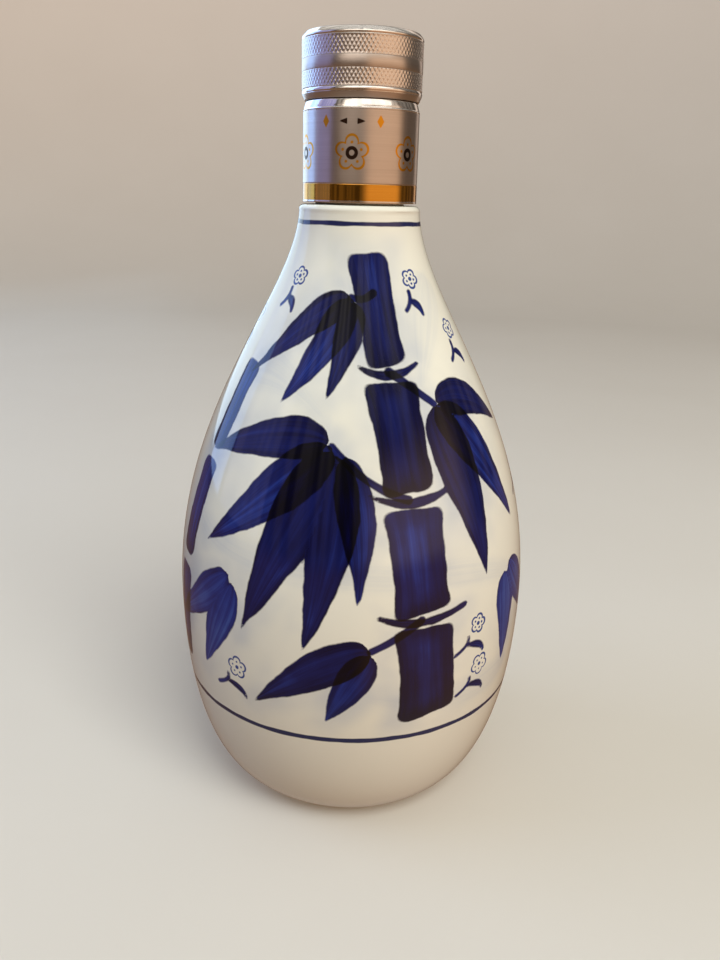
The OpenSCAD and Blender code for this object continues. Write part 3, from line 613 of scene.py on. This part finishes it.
# Satin lacquer spreads the light into soft upright bands, bright-cut metal and gold lacquer mirror it nearly
# clean, and the raw inside stays dull
satin, tree, shade, colour = metal("satin_lacquered_aluminium", "#D2CAC3", "#BDB4AC", 0.3, 0.55, 0.25)
marks = add(tree, "ShaderNodeAttribute", attribute_name="print").outputs["Vector"]
marks = add(tree, "ShaderNodeSeparateXYZ", {0: marks})
outline = add(tree, "ShaderNodeMath", {0: marks.outputs[2]}, operation="ABSOLUTE").outputs[0]
outline = add(tree, "ShaderNodeMath", {0: 0.3, 1: outline}, operation="SUBTRACT").outputs[0]
for mark, code in ((outline, "#D99A2B"), (marks.outputs[1], "#D99A2B"), (marks.outputs[0], "#3A2A22")):
    shown = add(tree, "ShaderNodeMapRange", {0: mark, 1: -0.05, 2: 0.06}).outputs[0]
    colour = add(tree, "ShaderNodeMix", {0: shown, 6: colour, 7: linear(code)}, data_type="RGBA").outputs[2]
tree.links.new(colour, shade.inputs["Base Color"])
bright = metal("bright_cut_aluminium", "#EDEAE6", "#DFDBD6", 0.11, 0.3, 0.12)[0]
gold = metal("mirror_gold_lacquer", "#D29B3F", "#C28A30", 0.1, 0.2, 0.3)[0]
raw = metal("raw_rolled_aluminium", "#C9C7C4", "#B5B3B0", 0.42, 0.4, 0.2)[0]
for material in (satin, bright, gold, raw):
    sleeve.data.materials.append(material)
height = sleeve_line[sleeve_row, 1]
inner = (sleeve_row >= len(sleeve_line) - 6) | (sleeve_row == 0)
cut = (height > CHAMFER_LOW) | (height < BAND_LOW)
band = (height > BAND_LOW) & (height < BAND_HIGH)
finish = np.select([inner, cut, band], [3, 1, 2], 0)
sleeve.data.polygons.foreach_set("material_index", finish.astype(np.int32))
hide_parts("sleeve_shell")
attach(sleeve, "bottle")

# Inner cap, tamper band and liner: the threaded moulding that is pressed into the cap's shell, the band that
# tore off its skirt, and the foam disc that seals the spout.
for node, material in {
    "inner_cap": natural_pe, "tamper_band": natural_pe,
    "cap_liner": moulded("foamed_polyethylene_liner", "#DCD6C4", "#CEC7B2", 0.62, 0.25),
}.items():
    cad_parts[node].material_slots[0].material = material

# Cap: drawn from the same sheet, with two bands of rolled diamond knurl, a plain band between them, and
# bright-cut beads and edges. It grips the inner cap by its rolled-in lower edge.
GROOVES, KNURL_DEPTH, KNURL_LEAN, CAP_R = 92, 0.09, math.radians(32), 14.45
CAP_COLUMNS = GROOVES * 8
low_knurl, high_knurl = (183.35, 186.95), (189.8, 193.8)
LOW_EDGE, TOP_EDGE, KNURLS = (182.1, 183.25), (193.85, 195.45), ((183.25, 187.0), (189.75, 193.85))
bead = np.linspace(0, math.pi, 9)
cap_line = np.concatenate([
    [[0, 195.25], [8, 195.25], [13.6, 195.25], [13.93, 195.0], [13.93, 188.0], [13.93, 182.2],
     [13.38, 180.95], [13.4, 180.88], [13.5, 180.85], [13.68, 180.85], [13.76, 180.9], [13.84, 181.05],
     [14.1, 181.6], [14.3, 182.05], [14.34, 182.16]],
    np.stack([14.33 + BEAD_PROUD * np.sin(bead), 182.2 + 0.95 * bead / math.pi], 1),
    [[14.3, 183.2], [14.36, 183.24], [14.38, 183.3]],
    np.stack([np.full(20, CAP_R), np.linspace(*low_knurl, 20)], 1),
    [[14.38, 187.0], [14.42, 187.05], [14.45, 187.12], [14.45, 188.3], [14.45, 189.62], [14.42, 189.7],
     [14.38, 189.75]],
    np.stack([np.full(22, CAP_R), np.linspace(*high_knurl, 22)], 1),
    [[14.38, 193.85], [14.34, 193.92]],
    np.stack([14.33 + BEAD_PROUD * np.sin(bead), 193.96 + 0.74 * bead / math.pi], 1),
    [[14.31, 194.74], [14.24, 194.84], [13.66, 195.5], [13.56, 195.59], [13.42, 195.63], [12.5, 195.63],
     [12.4, 195.61], [12.27, 195.54], [12.1, 195.52], [8, 195.52], [4, 195.52], [1, 195.52], [0, 195.52]]])

# The knurl: two sets of V-shaped grooves that lean either way, leave rows of small pyramids with flat tops,
# and grow shallow towards the ends of their band
FLAT_TOP, RUN_OUT = 0.15, 0.25
cap_turn = np.arange(CAP_COLUMNS) / CAP_COLUMNS
cap_radius = np.repeat(cap_line[:, :1], CAP_COLUMNS, 1)
for lowest, highest in (low_knurl, high_knurl):
    z = cap_line[:, 1:]
    on = (cap_line[:, 0] > CAP_R - 0.05) & (z[:, 0] >= lowest - 1e-6) & (z[:, 0] <= highest + 1e-6)
    climb = (z - lowest) * math.tan(KNURL_LEAN) / (2 * math.pi * CAP_R)
    cuts = [1 - np.abs(2 * ((GROOVES * (cap_turn + lean * climb)) % 1) - 1) for lean in (1, -1)]
    cut = np.clip(np.maximum(*cuts) * (1 + FLAT_TOP) - FLAT_TOP, 0, 1)
    fade = np.clip(np.minimum(z - lowest, highest - z) / RUN_OUT, 0.5, 1)
    cap_radius = np.where(on[:, None], cap_radius - KNURL_DEPTH * cut * fade, cap_radius)
cap, _, cap_row = turned("knurled_aluminium_cap", cap_line, CAP_COLUMNS, cap_radius)
knurled = metal("rolled_knurl_aluminium", "#DED9D4", "#CFC9C3", 0.24, 0.0, 0.3)[0]
plain = metal("satin_turned_aluminium", "#D2CAC3", "#BDB4AC", 0.3, 0.55, 0.25)[0]
for material in (plain, bright, knurled, raw):
    cap.data.materials.append(material)
height = cap_line[cap_row, 1]
finish = np.zeros(len(height), np.int32)
for index, bands in ((2, KNURLS), (1, (LOW_EDGE, TOP_EDGE))):
    for lowest, highest in bands:
        finish[(height > lowest) & (height < highest)] = index
finish[cap_row < 8] = 3
cap.data.polygons.foreach_set("material_index", finish)
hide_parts("cap_shell")
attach(cap, "cap")

# Floor and backdrop: plain pale board, flat under the bottle and bent up all round into a wall. The camera
# sees both and the floor takes the bottle's shadow, but metal and glaze mirror the room beyond them and take
# their light from it.
FLOOR_OUT, BEND, WALL_TOP, CLOUD, BOARD_COLUMNS = 1.0, 0.8, 2.4, 1 / 6, 96


def board(name, profile):
    """A pale sheet turned about the axis: each profile point (radius, height) in metres goes once round, and
    neighbouring rings are joined by four-sided faces. The sheet faces upwards and inwards."""
    turn = np.arange(BOARD_COLUMNS) / BOARD_COLUMNS * 2 * math.pi
    r, z = profile[:, :1], np.repeat(profile[:, 1:], BOARD_COLUMNS, 1)
    points = np.stack([r * np.sin(turn), -r * np.cos(turn), z], 2).reshape(-1, 3)
    i, j = np.arange(len(profile) - 1)[:, None] * BOARD_COLUMNS, np.arange(BOARD_COLUMNS)
    after = (j + 1) % BOARD_COLUMNS
    faces = np.stack([i + j, i + BOARD_COLUMNS + j, i + BOARD_COLUMNS + after, i + after], 2).reshape(-1, 4)
    mesh = bpy.data.meshes.new(name)
    mesh.from_pydata(points.tolist(), [], faces.tolist())
    mesh.polygons.foreach_set("use_smooth", np.ones(len(faces), bool))
    sheet = bpy.data.objects.new(name, mesh)
    bpy.context.collection.objects.link(sheet)
    return sheet


bend = np.linspace(0, math.pi / 2, 25)
floor = board("floor_board", np.array([[1e-4, 0.0], [0.1, 0.0], [0.4, 0.0], [FLOOR_OUT, 0.0]]))
wall = board("wall_board", np.concatenate([
    np.stack([FLOOR_OUT + BEND * np.sin(bend), BEND * (1 - np.cos(bend))], 1),
    [[FLOOR_OUT + BEND, WALL_TOP]]]))
wall.visible_transmission = wall.visible_shadow = False
for sheet in (floor, wall):
    sheet.visible_diffuse = sheet.visible_glossy = False

# Matt board: faintly clouded, with next to no gloss, and painted light: a glow that grows up the wall,
# standing in for lamplight falling on it
pale, tree = surface("pale_matt_board")
here = add(tree, "ShaderNodeTexCoord").outputs["Object"]
cloud = add(tree, "ShaderNodeTexNoise", {"Vector": here, "Scale": 1 / CLOUD, "Detail": 3.0}).outputs[0]
colour = add(tree, "ShaderNodeMix", {
    0: cloud, 6: linear("#DAD5CD"), 7: linear("#D4CEC5")}, data_type="RGBA").outputs[2]
height = add(tree, "ShaderNodeSeparateXYZ", {0: here}).outputs[2]
# Painted light: the board emits more light the higher up the wall it is
painted_wall_light = add(tree, "ShaderNodeMapRange", {0: height, 1: 0.0, 2: 0.7, 3: 0.0, 4: 0.3}).outputs[0]
shade = add(tree, "ShaderNodeBsdfPrincipled", {
    "Base Color": colour, "Roughness": 0.8, "IOR": 1.45, "Specular IOR Level": 0.1,
    "Emission Color": linear("#E6E0D7"), "Emission Strength": painted_wall_light})
add(tree, "ShaderNodeOutputMaterial", {0: shade.outputs[0]})
floor.data.materials.append(pale)
wall.data.materials.append(pale)

# Studio: a soft key from the front right and a cool fill from the left light the part and aren't mirrored.
# Three panels on the left, from behind round to the side, are there only to be mirrored, like daylight that
# fades to dusk, and four soft ovals are mirrored by the closure alone.
LAMPS_AIM = np.array([0.0, 0.0, 0.1])
closure = bpy.data.collections.new("closure")
for piece in (sleeve, cap):
    closure.objects.link(piece)
for name, place, size, power, code, use in (
    ("key_panel", (0.42, -0.75, 1.02), (0.7, 0.7), 11.8, "#FAFFFA", "light"),
    ("side_panel", (-1.0, 0.05, 0.65), (0.8, 0.8), 5.2, "#C8DEFF", "light"),
    ("window_panel", (-0.53, 0.85, 0.5), (0.74, 0.96), 4.6, "#C9E6FF", "mirrored"),
    ("sky_panel", (-0.96, 0.45, 0.5), (0.5, 0.96), 3.3, "#9CC0FF", "mirrored"),
    ("dusk_panel", (-1.05, -0.17, 0.5), (0.82, 0.96), 1.3, "#B2B2FF", "mirrored"),
    ("edge_strip", (0.22, -0.87, 0.98), (2.3, 0.56), 3.4, "#FFF8EC", "closure"),
    ("edge_glow", (0.25, -0.87, 0.98), (4.4, 0.6), 1.9, "#FFEBD8", "closure"),
    ("front_glow", (-0.32, -0.97, 0.55), (1.1, 0.4), 1.1, "#FFE9D8", "closure"),
    ("rim_strip", (0.6, 0.92, 0.5), (0.26, 1.3), 0.5, "#FFE9D8", "closure"),
):
    lamp = bpy.data.lights.new(name, "AREA")
    lamp.shape = "ELLIPSE" if use == "closure" else "RECTANGLE"
    lamp.size, lamp.size_y = size
    lamp.energy = power
    lamp.color = linear(code)[:3]
    holder = bpy.data.objects.new(name, lamp)
    bpy.context.collection.objects.link(holder)
    holder.visible_camera = False
    holder.visible_diffuse, holder.visible_glossy = use == "light", use != "light"
    if use == "closure":
        holder.light_linking.receiver_collection = closure
    aim = LAMPS_AIM - np.array(place)
    holder.location = place
    holder.rotation_euler = (
        math.atan2(math.hypot(aim[0], aim[1]), -aim[2]), 0, math.atan2(aim[1], aim[0]) - math.pi / 2)

# Room: light overhead and brown below the horizon, but paler straight below, with a warm wall on the right
# and dim things round about.
WARM_SIDE, WARM_GLOW = (0.743, -0.669, 0), 1.28
world = bpy.data.worlds.new("room")
world.use_nodes = True
tree = world.node_tree
tree.nodes.clear()
towards = add(tree, "ShaderNodeTexCoord").outputs["Generated"]
facing_up = add(tree, "ShaderNodeSeparateXYZ", {0: towards}).outputs[2]
ceiling = add(tree, "ShaderNodeValToRGB", {0: facing_up})
ramp = ceiling.color_ramp.elements
ramp[0].position, ramp[0].color = 0.0, linear("#6E6055")
ramp[1].position, ramp[1].color = 1.0, linear("#FFFAF2")
for stop, code in ((0.25, "#75695F"), (0.5, "#8C837A"), (0.66, "#B9B1A7"), (0.85, "#F2ECE3")):
    ramp.new(stop).color = linear(code)
level = add(tree, "ShaderNodeVectorMath", {0: towards, 1: (1, 1, 0)}, operation="MULTIPLY").outputs[0]
level = add(tree, "ShaderNodeVectorMath", {0: level}, operation="NORMALIZE").outputs[0]
beside = add(tree, "ShaderNodeVectorMath", {0: level, 1: WARM_SIDE}, operation="DOT_PRODUCT").outputs["Value"]
beside = add(tree, "ShaderNodeMapRange", {
    0: beside, 1: 0.69, 2: 0.9}, interpolation_type="SMOOTHSTEP").outputs[0]
low_down = add(tree, "ShaderNodeMapRange", {
    0: facing_up, 1: 0.55, 2: 0.22}, interpolation_type="SMOOTHSTEP").outputs[0]
lit = add(tree, "ShaderNodeMath", {0: beside, 1: low_down}, operation="MULTIPLY").outputs[0]
across = add(tree, "ShaderNodeSeparateXYZ", {0: level})
ahead = add(tree, "ShaderNodeMath", {0: across.outputs[1], 1: -1.0}, operation="MULTIPLY").outputs[0]
bearing = add(tree, "ShaderNodeMath", {0: across.outputs[0], 1: ahead}, operation="ARCTAN2").outputs[0]
things = add(tree, "ShaderNodeTexNoise", {
    "W": bearing, "Scale": 5.5, "Detail": 1.0}, noise_dimensions="1D").outputs[0]
things = add(tree, "ShaderNodeMapRange", {0: things, 1: 0.45, 2: 0.55, 3: 0.45, 4: 1.3}).outputs[0]
seen = add(tree, "ShaderNodeVectorMath", {
    0: ceiling.outputs[0], "Scale": things}, operation="SCALE").outputs[0]
warm = [WARM_GLOW * c for c in linear("#FFD5B2")]
seen = add(tree, "ShaderNodeMix", {0: lit, 6: seen, 7: warm}, data_type="RGBA").outputs[2]
ground = add(tree, "ShaderNodeMix", {
    0: beside, 6: linear("#8A6A50"), 7: linear("#C9966F")}, data_type="RGBA").outputs[2]
underfoot = add(tree, "ShaderNodeMapRange", {
    0: facing_up, 1: -0.55, 2: -0.95}, interpolation_type="SMOOTHSTEP").outputs[0]
ground = add(tree, "ShaderNodeMix", {
    0: underfoot, 6: ground, 7: linear("#BDB2A6")}, data_type="RGBA").outputs[2]
below = add(tree, "ShaderNodeMapRange", {
    0: facing_up, 1: 0.0, 2: -0.12}, interpolation_type="SMOOTHSTEP").outputs[0]
seen = add(tree, "ShaderNodeMix", {0: below, 6: seen, 7: ground}, data_type="RGBA").outputs[2]
room = add(tree, "ShaderNodeBackground", {0: seen, 1: 0.85})
add(tree, "ShaderNodeOutputWorld", {0: room.outputs[0]})
bpy.context.scene.world = world
bpy.context.scene.view_settings.view_transform = "Standard"

# Camera: where the photograph was taken from, tilted down, with the photograph's slight roll.
CAMERA_PLACE = (0, -0.22585, 0.16086)
TURN, TILT, ROLL = math.radians(-0.47), math.radians(90 - 18.61), math.radians(1.434)
eye = bpy.data.cameras.new("camera")
eye.sensor_width = 36.0
eye.lens = 32.26
camera = bpy.data.objects.new("camera", eye)
bpy.context.collection.objects.link(camera)
aimed = Matrix.Rotation(TURN, 4, "Z") @ Matrix.Rotation(TILT, 4, "X") @ Matrix.Rotation(ROLL, 4, "Z")
camera.matrix_world = Matrix.Translation(CAMERA_PLACE) @ aimed
bpy.context.scene.camera = camera
